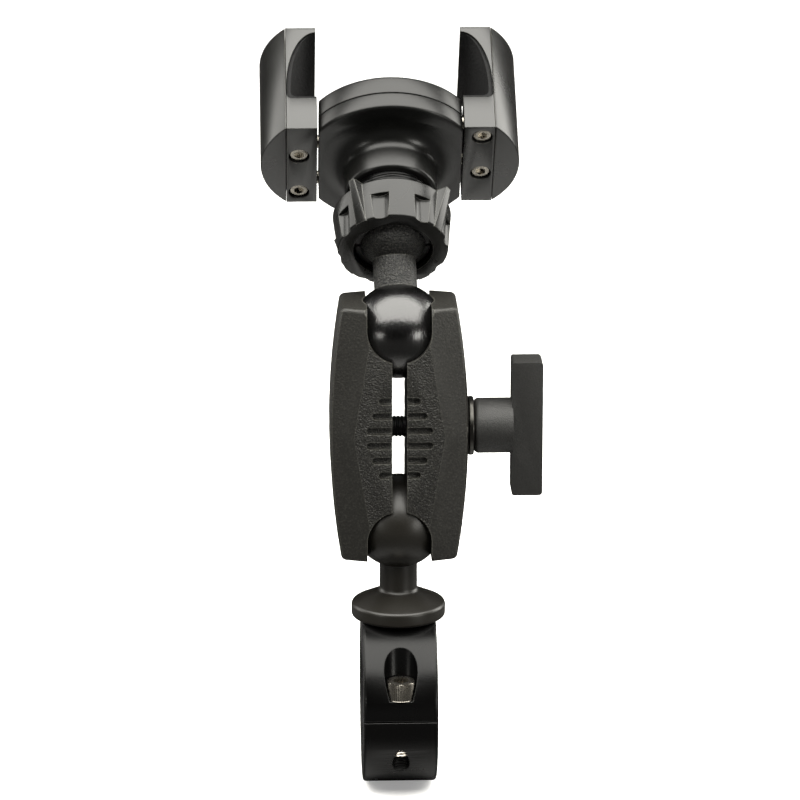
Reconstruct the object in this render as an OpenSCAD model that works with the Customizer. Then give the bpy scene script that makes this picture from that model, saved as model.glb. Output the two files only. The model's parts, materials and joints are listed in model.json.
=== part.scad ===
/* Phone mount for a motorcycle handlebar.
   The origin is the centre of the handlebar bore. X runs along the handlebar, Z points up along the arm,
   and +Y is the rider's side, which the phone faces. */

/* [Bar clamp] */
// Outer radius of the split ring
ring_r = 24; // [23.5:0.5:27]
// Width of the ring along the handlebar
ring_w = 20; // [18:1:24]
// Bore radius of the bare ring
ring_bore_r = 14.3; // [13.5:0.1:14.5]
// Radius of the handlebar that the sleeves fit
bar_r = 11.1; // [10.5:0.1:12.8]
// Distance of each clamp screw from the bore's axis
clamp_screw_y = 20; // [19.6:0.1:20.4]

/* [Balls] */
// Radius of the two large balls
ball_r = 12.7; // [12.5:0.1:13]
// Radius of the small ball in the holder's socket
small_ball_r = 10; // [9.8:0.1:10.2]
// Height of the base ball above the bore's axis
base_ball_z = 49.3; // [48:0.1:56]
// Distance between the two large balls
ball_pitch = 53; // [50:0.5:60]
// Distance from the upper large ball to the small ball
stem_l = 27.8; // [27:0.1:34]

/* [Arm] */
// Length of the arm
arm_l = 70; // [68:1:76]
// Half-width of the arm at its middle
arm_mid_r = 18.5; // [18:0.1:19]
// Half-width of the arm at its ends
arm_end_r = 15.5; // [15:0.1:16]
// Half-depth of the arm, front to back
arm_half_d = 12.1; // [11.8:0.1:12.6]
// Gap between the two shells
shell_gap = 4; // [2:0.5:4.5]

/* [Pose] */
// Lean of the ball stem towards the rider, from vertical
stem_lean = 30; // [10:1:50]
// Lean of the ball stem to the left, from vertical
stem_side = 2.3; // [0:0.1:3]
// Lean of the holder's axis beyond the stem's
holder_lean = 23; // [0:1:23]

/* [Holder] */
// Radius of the round housing
puck_r = 24.2; // [23:0.1:26]
// Thickness of the housing
puck_t = 11; // [10:0.5:13]
// Height of a jaw, from its back face to the tip of its hook
jaw_h = 36; // [35:0.5:38]
// Half-length of a jaw across the phone
jaw_half_w = 15.5; // [14.5:0.1:16]
// Spacing of the four guide rods
rod_pitch = 7.5; // [7:0.1:7.6]
// Radius of a guide rod
rod_r = 1.75; // [1.5:0.05:1.8]

/* [Hidden] */
$fn = 64;
eps = 0.02;
run = 0.05; // radial clearance of a part that turns or slides in another
slack = 0.2; // radial clearance of a hole around a loose part

// Bar clamp
split_gap = 0.4;
sleeve_gap = 1;
sleeve_or = ring_bore_r - 0.05;
ring_edge = 0.8;
seat_z = 22.6;
clamp_screw_r = 2.5;
clamp_head_r = 3.8;
clamp_head_h = 5;
clamp_head_z = 5.6;
clamp_bore_r = 4.5;
clamp_screw_l = 16;
clamp_socket_af = 4;
clamp_socket_d = 2.5;

// Ball base
flange_r = 12.75;
flange_top = 26.4;
cone_top = 30;
neck_r = 5.1;
neck_fillet = 1.4;
neck_fillet_z = cone_top - 0.6;
flange_edge = 0.8;
base_screw_r = 3;
base_head_r = 5;
base_head_h = 3.6;
base_floor_z = 18.4;
base_screw_end = 36;
base_socket_af = 4;
base_socket_d = 2;

// Arm
arm_z = base_ball_z + ball_pitch / 2;
top_ball_z = base_ball_z + ball_pitch;
arm_arc_r = ((arm_l / 2) ^ 2 + (arm_mid_r - arm_end_r) ^ 2) / (2 * (arm_mid_r - arm_end_r));
panel_mid = 12.2;
panel_taper = 9.4;
bevel_w = 6.3;
bevel_d = 3.8;
window_r = 8.6;
window_shift = 2.6;
groove_pitch = 4.1;
groove_w = 1.9;
groove_l = [3.6, 5.4, 6.9, 6.9, 5.4, 3.6];
groove_d = 1.2;
bolt_r = 3;
hex_af = 10;
hex_h = 4;
bolt_head_x = -12.5;
bolt_end_x = 30;
left_recess_r = 7.8;
left_recess_x = -16.5;
right_recess_r = 8.6;
washer_x = 17;
washer_t = 1.6;
washer_r = 7.95;

// Knob
hub_r = 7.45;
hub_x = washer_x + 2 * washer_t + 0.05;
bar_x = 30.3;
bar_t = 8.3;
bar_half_l = 18.5;
bar_half_d = 4.5;
bar_corner = 1.4;
insert_r = 4.4;
insert_l = 9;

// Holder, in its own frame: the small ball at the origin, the phone towards +Z, the phone's top at -Y
stem_r = 5.8;
small_x = -stem_l * sin(stem_side);
small_y = stem_l * cos(stem_side) * sin(stem_lean);
small_z = top_ball_z + stem_l * cos(stem_side) * cos(stem_lean);
nut_face = -6.8;
nut_h = 12.2;
nut_r = 16;
nut_face_r = 14.8;
nut_mouth_r = 10.6;
nut_lobes = 4;
nut_turn = 8.5;
ear_r = 18.7;
ear_tip_w = 0.8;
ear_foot_r = 12;
ear_foot_w = 2.2;
pocket_r = 3.1;
pocket_at = nut_r + 1.1;
pocket_turn = 22;
pocket_end = 4.6; // the wall left at a pocket's closed end
thread_r = 10.5;
collet_mouth_r = 10.2;
collet_face = -5;
collet_top = 2.6;
collet_r = 11.5;
collet_in_r = 5;
collet_cone_h = 4.3;
slot_w = 1;
slot_top = 0;
seat_top = 3.3;
boss_z = 12;
boss_r = 12.5;
boss_edge = 1.3;
back_z = 23;
seam_z = back_z + 5;
front_z = back_z + puck_t;
flat_x = 19.3;
fillet_w = flat_x - boss_r;
fillet_h = 4.6;
pad_t = 1;
pad_r = 21;
pad_inset = 1.6;

// Guide rods and springs
rod_z = back_z + 5.3;
channel_r = 3;
channel_x = 17.4;
rod_in_x = 16;
rod_head_r = 2.8;
rod_head_t = 2;
rod_out_x = 26;
wire_r = 0.4;
coil_r = 2.35;
coils = 9;
jaw_rods = [-1.5 * rod_pitch, 0.5 * rod_pitch];

// Jaws
jaw_x = 19.8;
seam_x = jaw_x + 8.3;
arc_sag = 7;
jaw_arc_r = (jaw_half_w ^ 2 + arc_sag ^ 2) / (2 * arc_sag);
jaw_arc_x = seam_x + arc_sag - jaw_arc_r;
cover_wall = 2;
shelf_h = 12;
recess_d = 7;
recess_top = 34.4;
liner_t = 1.2;
curve_from = 15;
hook_corner = 1.6;
screw_x = 24.7;
jaw_screw_r = 1.5;
jaw_head_r = 2.5;
jaw_head_t = 2;
jaw_head_sunk = 0.6;
jaw_shank_l = 0.9;
jaw_socket_af = 2.5;
jaw_socket_d = 1.2;

// Cover screws
cover_screw = [8, 18];
cover_screw_r = 1.25;
cover_head_r = 2.2;
cover_head_t = 1.5;
cover_head_z = front_z - 2;
cover_screw_l = 6.5;
cover_hole_z = seam_z - 3.2;

// ---- Helpers ----

// A cylinder along X, from x0 to x1
module rod_x(x0, x1, r) {
    translate([x0, 0, 0]) rotate([0, 90, 0]) cylinder(h = x1 - x0, r = r);
}

// Places its children in the ball stem's frame
module in_stem() {
    translate([0, 0, top_ball_z]) rotate([-stem_lean, 0, 0]) rotate([0, -stem_side, 0]) children();
}

// Places its children in the holder's frame
module in_holder() {
    translate([small_x, small_y, small_z]) rotate([-stem_lean - holder_lean, 0, 0]) children();
}

// Half-space box on the side of sign s along Z, starting at z
module half_z(s, z) {
    translate([-50, -50, s > 0 ? z : -z - 100]) cube(100);
}

// ---- Bar clamp ----

module ring_half(s) {
    intersection() {
        rotate([0, 90, 0]) rotate_extrude() polygon([
            [ring_bore_r, -ring_w / 2], [ring_r - ring_edge, -ring_w / 2],
            [ring_r, -ring_w / 2 + ring_edge], [ring_r, ring_w / 2 - ring_edge],
            [ring_r - ring_edge, ring_w / 2], [ring_bore_r, ring_w / 2]
        ]);
        half_z(s, split_gap / 2);
    }
}

module clamp_upper_half() {
    color("#26272a") difference() {
        ring_half(1);
        for (side = [-1, 1]) translate([0, side * clamp_screw_y, 0]) {
            cylinder(h = ring_r, r = clamp_screw_r + run);
            translate([0, 0, clamp_head_z]) cylinder(h = ring_r, r = clamp_bore_r);
        }
        translate([0, 0, seat_z]) cylinder(h = ring_r, r = flange_r + 1);
        cylinder(h = ring_r, r = base_screw_r + run);
        cylinder(h = base_floor_z, r = base_head_r + 2 * slack);
    }
}

module clamp_lower_half() {
    color("#26272a") difference() {
        ring_half(-1);
        for (side = [-1, 1]) translate([0, side * clamp_screw_y, -ring_r])
            cylinder(h = ring_r, r = clamp_screw_r + run);
    }
}

module sleeve_half(s) {
    color("#1b1b1c") intersection() {
        rotate([0, 90, 0]) difference() {
            cylinder(h = ring_w, r = sleeve_or, center = true);
            cylinder(h = ring_w + 1, r = bar_r, center = true);
        }
        half_z(s, sleeve_gap / 2);
    }
}

module bar_sleeve_upper() { sleeve_half(1); }

module bar_sleeve_lower() { sleeve_half(-1); }

module clamp_screw(side) {
    color("#b9bbbe") translate([0, side * clamp_screw_y, clamp_head_z]) difference() {
        union() {
            cylinder(h = clamp_head_h, r = clamp_head_r);
            translate([0, 0, -clamp_screw_l]) cylinder(h = clamp_screw_l + eps, r = clamp_screw_r);
        }
        translate([0, 0, clamp_head_h - clamp_socket_d])
            cylinder(h = clamp_head_h, d = clamp_socket_af / cos(30), $fn = 6);
    }
}

module clamp_screw_front() { clamp_screw(-1); }

module clamp_screw_rear() { clamp_screw(1); }

// ---- Ball base ----

module ball_base() {
    color("#2a2b2d") difference() {
        union() {
            rotate_extrude() polygon(concat(
                [[0, seat_z], [flange_r - flange_edge, seat_z], [flange_r, seat_z + flange_edge],
                 [flange_r, flange_top - flange_edge], [flange_r - flange_edge, flange_top]],
                [for (t = [0 : 15 : 90])
                    [neck_r + neck_fillet * (1 - sin(t)), neck_fillet_z + neck_fillet * (1 - cos(t))]],
                [[neck_r, base_ball_z], [0, base_ball_z]]
            ));
            translate([0, 0, base_ball_z]) sphere(r = ball_r);
        }
        translate([0, 0, seat_z - eps])
            cylinder(h = base_screw_end + 1 - seat_z, r = base_screw_r + run);
    }
}

module ball_base_screw() {
    color("#b9bbbe") difference() {
        union() {
            translate([0, 0, base_floor_z - base_head_h]) cylinder(h = base_head_h, r = base_head_r);
            translate([0, 0, base_floor_z - eps])
                cylinder(h = base_screw_end - base_floor_z, r = base_screw_r);
        }
        translate([0, 0, base_floor_z - base_head_h - eps])
            cylinder(h = base_socket_d, d = base_socket_af / cos(30), $fn = 6);
    }
}

// ---- Arm ----

// The whole arm: an arched plate, its long corners bevelled from the edges of the flat panels
module arm_barrel() {
    translate([0, 0, arm_z]) difference() {
        rotate([90, 0, 0]) linear_extrude(height = 2 * arm_half_d, center = true) intersection() {
            translate([arm_mid_r - arm_arc_r, 0]) circle(r = arm_arc_r, $fn = 360);
            translate([arm_arc_r - arm_mid_r, 0]) circle(r = arm_arc_r, $fn = 360);
            square([2 * arm_mid_r, arm_l], center = true);
        }
        for (s = [-1, 1], face = [-1, 1], half = [-1, 1])
            translate([s * panel_mid, 0, 0]) rotate([0, -s * half * panel_taper, 0])
                linear_extrude(height = 2 * arm_l, center = true) polygon([
                    [-s * bevel_w, face * (arm_half_d + bevel_d)],
                    [2 * s * bevel_w, face * (arm_half_d - 2 * bevel_d)],
                    [2 * s * bevel_w, face * (arm_half_d + bevel_w)]
                ]);
    }
}

// One shell; s is -1 for the left one and 1 for the right one
module arm_shell(s) {
    difference() {
        intersection() {
            arm_barrel();
            translate([s > 0 ? shell_gap / 2 : -100 - shell_gap / 2, -50, 0]) cube([100, 100, 200]);
        }
        for (end = [-1, 1]) translate([0, 0, arm_z + end * ball_pitch / 2]) {
            sphere(r = ball_r + run);
            translate([0, 0, end * window_shift]) {
                rotate([90, 0, 0]) cylinder(h = 40, r = window_r, center = true);
                translate([-window_r, -20, end > 0 ? 0 : -40]) cube([2 * window_r, 40, 40]);
            }
        }
        translate([0, 0, arm_z]) rod_x(-50, 50, bolt_r + slack);
        for (i = [0 : len(groove_l) - 1], face = [-1, 1])
            translate([0, face * arm_half_d, arm_z + (i - 2.5) * groove_pitch]) {
                reach = shell_gap / 2 + groove_l[i] - groove_w / 2;
                translate([s > 0 ? 0 : -reach, -groove_d, -groove_w / 2])
                    cube([reach, 2 * groove_d, groove_w]);
                translate([s * reach, 0, 0]) rotate([90, 0, 0])
                    cylinder(h = 2 * groove_d, r = groove_w / 2, center = true);
            }
    }
}

module arm_shell_left() {
    color("#2d2e30") difference() {
        arm_shell(-1);
        translate([0, 0, arm_z]) {
            rod_x(-50, left_recess_x, left_recess_r);
            rotate([0, -90, 0]) translate([0, 0, -bolt_head_x])
                cylinder(h = 40, d = (hex_af + slack) / cos(30), $fn = 6);
        }
    }
}

module arm_shell_right() {
    color("#2d2e30") difference() {
        arm_shell(1);
        translate([0, 0, arm_z]) rod_x(washer_x, 50, right_recess_r);
    }
}

module arm_bolt() {
    color("#1c1c1e") translate([0, 0, arm_z]) {
        rotate([0, -90, 0]) translate([0, 0, -bolt_head_x])
            cylinder(h = hex_h, d = hex_af / cos(30), $fn = 6);
        rod_x(bolt_head_x - eps, bolt_end_x, bolt_r);
    }
}

module arm_washer(x0) {
    color("#8d8f92") translate([0, 0, arm_z]) difference() {
        rod_x(x0, x0 + washer_t, washer_r);
        rod_x(x0 - 1, x0 + washer_t + 1, bolt_r + slack);
    }
}

module washer_inner() { arm_washer(washer_x); }

module washer_outer() { arm_washer(washer_x + washer_t); }

module knob() {
    corner = bar_corner;
    color("#232325") translate([0, 0, arm_z]) difference() {
        union() {
            rod_x(hub_x, bar_x + 1, hub_r);
            intersection() {
                rotate([90, 0, 0]) linear_extrude(height = 2 * bar_half_d, center = true) union() {
                    for (x = [bar_x + corner, bar_x + bar_t - corner], z = [-1, 1])
                        translate([x, z * (bar_half_l - corner)]) circle(r = corner);
                    translate([bar_x, -bar_half_l + corner]) square([bar_t, 2 * (bar_half_l - corner)]);
                    translate([bar_x + corner, -bar_half_l])
                        square([bar_t - 2 * corner, 2 * bar_half_l]);
                }
                rod_x(bar_x - 1, bar_x + bar_t + 1, bar_half_l);
            }
        }
        rod_x(hub_x - 1, hub_x + insert_l, insert_r);
        rod_x(hub_x, bolt_end_x + 1, bolt_r + slack);
    }
}

module knob_insert() {
    color("#b08d4a") translate([0, 0, arm_z]) difference() {
        rod_x(hub_x, hub_x + insert_l, insert_r);
        rod_x(hub_x - 1, hub_x + insert_l + 1, bolt_r + run);
    }
}

// ---- Ball stem ----

module ball_stem() {
    color("#1a1a1c") in_stem() {
        sphere(r = ball_r);
        cylinder(h = stem_l, r = stem_r);
        translate([0, 0, stem_l]) sphere(r = small_ball_r);
    }
}

// ---- Holder socket ----

module socket_collet() {
    color("#3a3b3d") in_holder() difference() {
        rotate_extrude() polygon([
            [collet_in_r, collet_face], [collet_mouth_r, collet_face],
            [collet_r, collet_face + collet_cone_h],
            [collet_r, collet_top], [collet_in_r, collet_top]
        ]);
        sphere(r = small_ball_r + run);
        for (a = [0, 90]) rotate([0, 0, a])
            translate([-2 * collet_r, -slot_w / 2, collet_face - 1])
                cube([4 * collet_r, slot_w, slot_top - collet_face + 1]);
    }
}

module locking_nut() {
    color("#2c2d2e") in_holder() rotate([0, 0, nut_turn]) translate([0, 0, nut_face]) difference() {
        union() {
            cylinder(h = nut_h, r1 = nut_face_r, r2 = nut_r);
            for (i = [0 : nut_lobes - 1]) rotate([0, 0, (i + 0.5) * 360 / nut_lobes]) intersection() {
                cylinder(h = nut_h, r1 = nut_face_r, r2 = ear_r);
                linear_extrude(height = nut_h) polygon([
                    [ear_foot_r, ear_foot_w], [ear_foot_r, -ear_foot_w],
                    [ear_r + slack, -ear_tip_w], [ear_r + slack, ear_tip_w]
                ]);
            }
        }
        rotate_extrude() polygon([
            [0, -1], [nut_mouth_r, -1], [nut_mouth_r, 1], [collet_r + slack, nut_h / 2],
            [collet_r + slack, seat_top - nut_face], [thread_r + run, seat_top - nut_face],
            [thread_r + run, nut_h + 1], [0, nut_h + 1]
        ]);
        for (i = [0 : nut_lobes - 1], side = [-1, 1])
            rotate([0, 0, 360 / nut_lobes * i + side * pocket_turn])
                translate([pocket_at, 0, -1]) cylinder(h = nut_h + 1 - pocket_end, r = pocket_r);
    }
}

// ---- Holder body ----

// The housing's outline: a disc with two flat sides
module puck_outline() {
    intersection() {
        circle(r = puck_r, $fn = 96);
        square([2 * flat_x, 3 * puck_r], center = true);
    }
}

// Spring channels and rod holes for the rods of both jaws
module rod_channels() {
    for (s = [-1, 1], y = jaw_rods) translate([0, s * y, rod_z]) {
        rod_x(-channel_x, channel_x, channel_r);
        rod_x(s > 0 ? 0 : -30, s > 0 ? 30 : 0, rod_r + run);
    }
}

module holder_housing() {
    color("#2a2b2d") in_holder() difference() {
        union() {
            translate([0, 0, back_z]) linear_extrude(height = seam_z - back_z) puck_outline();
            rotate_extrude() polygon(concat(
                [[0, seat_top], [thread_r, seat_top], [thread_r, boss_z], [boss_r - boss_edge, boss_z],
                 [boss_r, boss_z + boss_edge]],
                [for (t = [0 : 10 : 90]) [flat_x - fillet_w * cos(t), back_z - fillet_h * (1 - sin(t))]],
                [[flat_x, back_z + eps], [0, back_z + eps]]
            ));
        }
        sphere(r = small_ball_r + run);
        rod_channels();
        for (x = [-1, 1], y = [-1, 1])
            translate([x * cover_screw[0], y * cover_screw[1], cover_hole_z])
                cylinder(h = puck_t, r = cover_screw_r + run);
    }
}

module holder_cover() {
    color("#2a2b2d") in_holder() difference() {
        translate([0, 0, seam_z]) linear_extrude(height = front_z - seam_z) puck_outline();
        rod_channels();
        for (x = [-1, 1], y = [-1, 1])
            translate([x * cover_screw[0], y * cover_screw[1], 0]) {
                cylinder(h = 2 * front_z, r = cover_screw_r + slack / 2);
                translate([0, 0, cover_head_z]) cylinder(h = front_z, r = cover_head_r + slack / 2);
            }
    }
}

module phone_pad() {
    color("#1a1a1b") in_holder() translate([0, 0, front_z]) intersection() {
        cylinder(h = pad_t, r = pad_r);
        translate([-flat_x + pad_inset, -pad_r, 0]) cube([2 * (flat_x - pad_inset), 2 * pad_r, 2 * pad_t]);
    }
}

module cover_screws() {
    color("#7d7f82") in_holder() for (x = [-1, 1], y = [-1, 1])
        translate([x * cover_screw[0], y * cover_screw[1], cover_head_z]) {
            cylinder(h = cover_head_t, r = cover_head_r);
            translate([0, 0, eps - cover_screw_l]) cylinder(h = cover_screw_l, r = cover_screw_r);
        }
}

// ---- Jaws: s is 1 for the right one and -1 for the left one, which is the right one turned about Z ----

module jaw_frame(s) {
    in_holder() rotate([0, 0, s > 0 ? 0 : 180]) children();
}

module guide_rods(s) {
    color("#a7a9ac") jaw_frame(s) for (y = jaw_rods) translate([0, y, rod_z]) {
        rod_x(-rod_in_x, rod_out_x, rod_r);
        rod_x(-rod_in_x, -rod_in_x + rod_head_t, rod_head_r);
    }
}

module right_guide_rods() { guide_rods(1); }

module left_guide_rods() { guide_rods(-1); }

// A compression spring along X, from x0 to x1, as a swept ring of six sides
module spring_x(x0, x1) {
    steps = 12 * coils;
    sides = 6;
    points = [for (i = [0 : steps], j = [0 : sides - 1])
        let (t = 360 * coils * i / steps, a = 360 * j / sides, r = coil_r + wire_r * cos(a))
        [x0 + (x1 - x0) * i / steps + wire_r * sin(a), r * cos(t), r * sin(t)]];
    walls = [for (i = [0 : steps - 1], j = [0 : sides - 1], half = [0, 1])
        let (a = i * sides + j, b = i * sides + (j + 1) % sides)
        half == 0 ? [a, b, b + sides] : [a, b + sides, a + sides]];
    first = [for (j = [sides - 1 : -1 : 0]) j];
    last = [for (j = [0 : sides - 1]) steps * sides + j];
    polyhedron(points, concat(walls, [first, last]));
}

module springs(s) {
    color("#c8c9cb") jaw_frame(s) for (y = jaw_rods) translate([0, y, rod_z])
        spring_x(-rod_in_x + rod_head_t + wire_r + 0.1, channel_x - wire_r - 0.1);
}

module right_springs() { springs(1); }

module left_springs() { springs(-1); }

// The D-shaped outline of a jaw beyond its seam, inset by d
module jaw_bow(d) {
    intersection() {
        translate([jaw_arc_x, 0]) circle(r = jaw_arc_r - d, $fn = 96);
        translate([seam_x, -jaw_half_w]) square([20, 2 * jaw_half_w]);
    }
}

// The hollow that holds the phone's edge, in the XZ plane; d is how much deeper than the liner it goes
module hook_hollow(d) {
    rotate([90, 0, 0]) linear_extrude(height = 80, center = true) polygon(concat(
        [[0, back_z + recess_top], [0, back_z + shelf_h - d]],
        [for (t = [0 : 15 : 90])
            [jaw_x + recess_d + d - hook_corner * (1 - sin(t)),
             back_z + shelf_h - d + hook_corner * (1 - cos(t))]],
        [for (t = [0 : 6 : 90])
            [jaw_x + (recess_d + d) * cos(t),
             back_z + curve_from + (recess_top - curve_from) * sin(t)]]
    ));
}

module jaw_block(s) {
    color("#2a2b2d") jaw_frame(s) difference() {
        union() {
            translate([jaw_x, -jaw_half_w, back_z]) cube([seam_x - jaw_x, 2 * jaw_half_w, jaw_h]);
            translate([0, 0, back_z + cover_wall + run])
                linear_extrude(height = jaw_h - 2 * cover_wall - 2 * run) jaw_bow(cover_wall + run);
        }
        hook_hollow(liner_t);
        for (y = jaw_rods) {
            translate([0, y, rod_z]) rod_x(jaw_x - 1, rod_out_x + 0.5, rod_r);
            translate([screw_x, y, back_z]) {
                translate([0, 0, -1]) cylinder(h = 1 + jaw_head_t + jaw_head_sunk, r = jaw_head_r + slack);
                cylinder(h = rod_z - back_z, r = jaw_screw_r);
            }
        }
    }
}

module right_jaw_block() { jaw_block(1); }

module left_jaw_block() { jaw_block(-1); }

module jaw_cover(s) {
    color("#303133") jaw_frame(s) difference() {
        translate([0, 0, back_z]) linear_extrude(height = jaw_h) jaw_bow(0);
        translate([0, 0, back_z + cover_wall])
            linear_extrude(height = jaw_h - 2 * cover_wall) jaw_bow(cover_wall);
    }
}

module right_jaw_cover() { jaw_cover(1); }

module left_jaw_cover() { jaw_cover(-1); }

module jaw_liner(s) {
    color("#1a1a1b") jaw_frame(s) difference() {
        intersection() {
            hook_hollow(liner_t);
            translate([jaw_x, -jaw_half_w, back_z]) cube([20, 2 * jaw_half_w, jaw_h]);
        }
        hook_hollow(0);
    }
}

module right_jaw_liner() { jaw_liner(1); }

module left_jaw_liner() { jaw_liner(-1); }

module jaw_screws(s) {
    color("#c4c5c7") jaw_frame(s) for (y = jaw_rods) translate([screw_x, y, back_z + jaw_head_sunk])
        difference() {
            union() {
                cylinder(h = jaw_head_t, r = jaw_head_r);
                translate([0, 0, jaw_head_t - eps]) cylinder(h = jaw_shank_l, r = jaw_screw_r);
            }
            translate([0, 0, -eps]) cylinder(h = jaw_socket_d, d = jaw_socket_af / cos(30), $fn = 6);
        }
}

module right_jaw_screws() { jaw_screws(1); }

module left_jaw_screws() { jaw_screws(-1); }

clamp_upper_half();
clamp_lower_half();
bar_sleeve_upper();
bar_sleeve_lower();
clamp_screw_front();
clamp_screw_rear();
ball_base();
ball_base_screw();
arm_shell_left();
arm_shell_right();
arm_bolt();
washer_inner();
washer_outer();
knob();
knob_insert();
ball_stem();
socket_collet();
locking_nut();
holder_housing();
holder_cover();
phone_pad();
cover_screws();
right_guide_rods();
left_guide_rods();
right_springs();
left_springs();
right_jaw_block();
left_jaw_block();
right_jaw_cover();
left_jaw_cover();
right_jaw_liner();
left_jaw_liner();
right_jaw_screws();
left_jaw_screws();
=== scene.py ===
import json
from math import acos, atan2, cos, degrees, pi, radians, sin, sqrt, tan

import bmesh
import bpy
from mathutils import Matrix, Vector, noise


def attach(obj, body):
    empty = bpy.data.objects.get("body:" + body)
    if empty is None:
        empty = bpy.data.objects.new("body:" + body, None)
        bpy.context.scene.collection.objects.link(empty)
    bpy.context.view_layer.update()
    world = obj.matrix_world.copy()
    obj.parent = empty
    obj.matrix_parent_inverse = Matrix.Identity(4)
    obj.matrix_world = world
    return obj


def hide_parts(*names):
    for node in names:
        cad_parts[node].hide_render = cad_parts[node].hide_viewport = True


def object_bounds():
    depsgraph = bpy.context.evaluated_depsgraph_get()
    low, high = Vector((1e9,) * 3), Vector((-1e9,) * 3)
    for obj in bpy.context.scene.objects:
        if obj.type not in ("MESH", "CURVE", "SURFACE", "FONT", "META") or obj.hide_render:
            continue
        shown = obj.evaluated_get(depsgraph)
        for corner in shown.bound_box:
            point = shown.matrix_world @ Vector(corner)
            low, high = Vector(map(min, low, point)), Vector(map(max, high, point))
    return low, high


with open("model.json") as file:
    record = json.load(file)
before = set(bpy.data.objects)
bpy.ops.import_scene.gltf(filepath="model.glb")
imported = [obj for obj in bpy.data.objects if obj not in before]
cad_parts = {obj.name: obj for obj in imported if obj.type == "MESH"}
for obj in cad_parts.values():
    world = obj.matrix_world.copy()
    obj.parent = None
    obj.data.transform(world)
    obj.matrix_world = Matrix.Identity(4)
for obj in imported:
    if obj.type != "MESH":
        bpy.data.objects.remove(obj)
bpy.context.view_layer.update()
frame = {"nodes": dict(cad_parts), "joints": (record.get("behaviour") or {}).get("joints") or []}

# ---- Where the mount's joints are ----
# The balls are the mount's skeleton: the base ball, the stem's large ball and the stem's small ball.
# Every piece is modelled in millimetres about its own centre and set on one of these.
spots = {joint["name"]: joint for joint in frame["joints"]}
base_ball = Vector(spots["arm_pitch"]["pos_m"])
stem_ball = Vector(spots["stem_tilt"]["pos_m"])
socket_ball = Vector(spots["holder_spin"]["pos_m"])
facing = Vector(spots["holder_spin"]["axis"])


def place(origin, up=(0, 0, 1), turn=0):
    """The matrix that sets a piece made in millimetres at origin, its Z along up, turned about it."""
    up = Vector(up).normalized()
    across = (Vector((1, 0, 0)) - up * up.x).normalized()
    depth = up.cross(across)
    axes = Matrix((across, depth, up)).transposed().to_4x4()
    return Matrix.Translation(origin) @ axes @ Matrix.Rotation(radians(turn), 4, "Z") @ Matrix.Scale(0.001, 4)


at_bar = place((0, 0, 0))
at_arm = place((base_ball + stem_ball) / 2)
at_stem = place(stem_ball, socket_ball - stem_ball)
at_holder = place(socket_ball, facing)
at_holder_left = place(socket_ball, facing, 180)


# ---- Bar clamp: two halves of a split ring ----
# Machined from aluminium bar, the edges broken, black anodised. The lower half is tapped for the two
# screws, and the upper half is spot-faced on top for the ball base.
ring_r = 24
ring_half_w = 10
bore_r = 14.3
split = 0.2
edge_r = 0.9
screw_y = 20
head_floor = 5.6
seat_z = 22.6


def outline(*corners, steps=5):
    """The points of an outline whose corners (x, y, radius) are rounded."""
    points = []
    for i, (x, y, radius) in enumerate(corners):
        here = Vector((x, y))
        if radius == 0:
            points.append(here)
            continue
        before = (Vector(corners[i - 1][:2]) - here).normalized()
        after = (Vector(corners[(i + 1) % len(corners)][:2]) - here).normalized()
        half = before.angle(after) / 2
        centre = here + (before + after).normalized() * radius / sin(half)
        first = here + before * radius / tan(half) - centre
        last = here + after * radius / tan(half) - centre
        points += [centre + radius * first.slerp(last, k / steps).normalized() for k in range(steps + 1)]
    return points


def tidy(bm, gap=1e-4):
    """Merges doubles, closes the seam of a spin and turns every face outwards."""
    bmesh.ops.remove_doubles(bm, verts=bm.verts, dist=gap)
    bmesh.ops.dissolve_degenerate(bm, edges=bm.edges, dist=gap)
    bmesh.ops.recalc_face_normals(bm, faces=bm.faces)
    return bm


def loop_of(bm, points):
    """A closed loop of vertices and edges through 3-D points."""
    verts = [bm.verts.new(p) for p in points]
    return verts, [bm.edges.new((a, b)) for a, b in zip(verts, verts[1:] + verts[:1])]


def turned(points, steps=96, angle=2 * pi):
    """A piece turned on a lathe: a closed outline of (radius, height) spun about Z."""
    bm = bmesh.new()
    verts, edges = loop_of(bm, [(p[0], 0, p[1]) for p in points])
    bmesh.ops.spin(bm, geom=verts + edges, cent=(0, 0, 0), axis=(0, 0, 1), dvec=(0, 0, 0),
                   angle=angle, steps=steps, use_merge=angle == 2 * pi)
    if angle < 2 * pi:
        bmesh.ops.holes_fill(bm, edges=bm.edges)
    return tidy(bm)


def pushed(points, z0, z1):
    """A bar with the outline of (x, y) points, from z0 to z1."""
    bm = bmesh.new()
    verts, edges = loop_of(bm, [(p[0], p[1], z0) for p in points])
    face = bm.faces.new(verts)
    top = bmesh.ops.extrude_face_region(bm, geom=[face])["geom"]
    bmesh.ops.translate(bm, vec=(0, 0, z1 - z0), verts=[v for v in top if isinstance(v, bmesh.types.BMVert)])
    return tidy(bm)


def drill(radius, z0, z1, at=(0, 0), steps=64):
    """A plain round bar along Z, for a hole or a shank."""
    bm = bmesh.new()
    bmesh.ops.create_cone(bm, cap_ends=True, segments=steps, radius1=radius, radius2=radius, depth=z1 - z0)
    bmesh.ops.translate(bm, vec=(at[0], at[1], (z0 + z1) / 2), verts=bm.verts)
    return bm


def ball(radius, at=(0, 0, 0), steps=64):
    """A sphere, its poles on Z."""
    bm = bmesh.new()
    bmesh.ops.create_uvsphere(bm, u_segments=steps, v_segments=steps // 2, radius=radius)
    bmesh.ops.translate(bm, vec=at, verts=bm.verts)
    return bm


def block(low, high):
    """A box between two corners."""
    bm = bmesh.new()
    bmesh.ops.create_cube(bm, size=1)
    size = Vector(high) - Vector(low)
    bmesh.ops.transform(bm, verts=bm.verts, matrix=Matrix.LocRotScale((Vector(low) + Vector(high)) / 2, None, size))
    return bm


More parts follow.
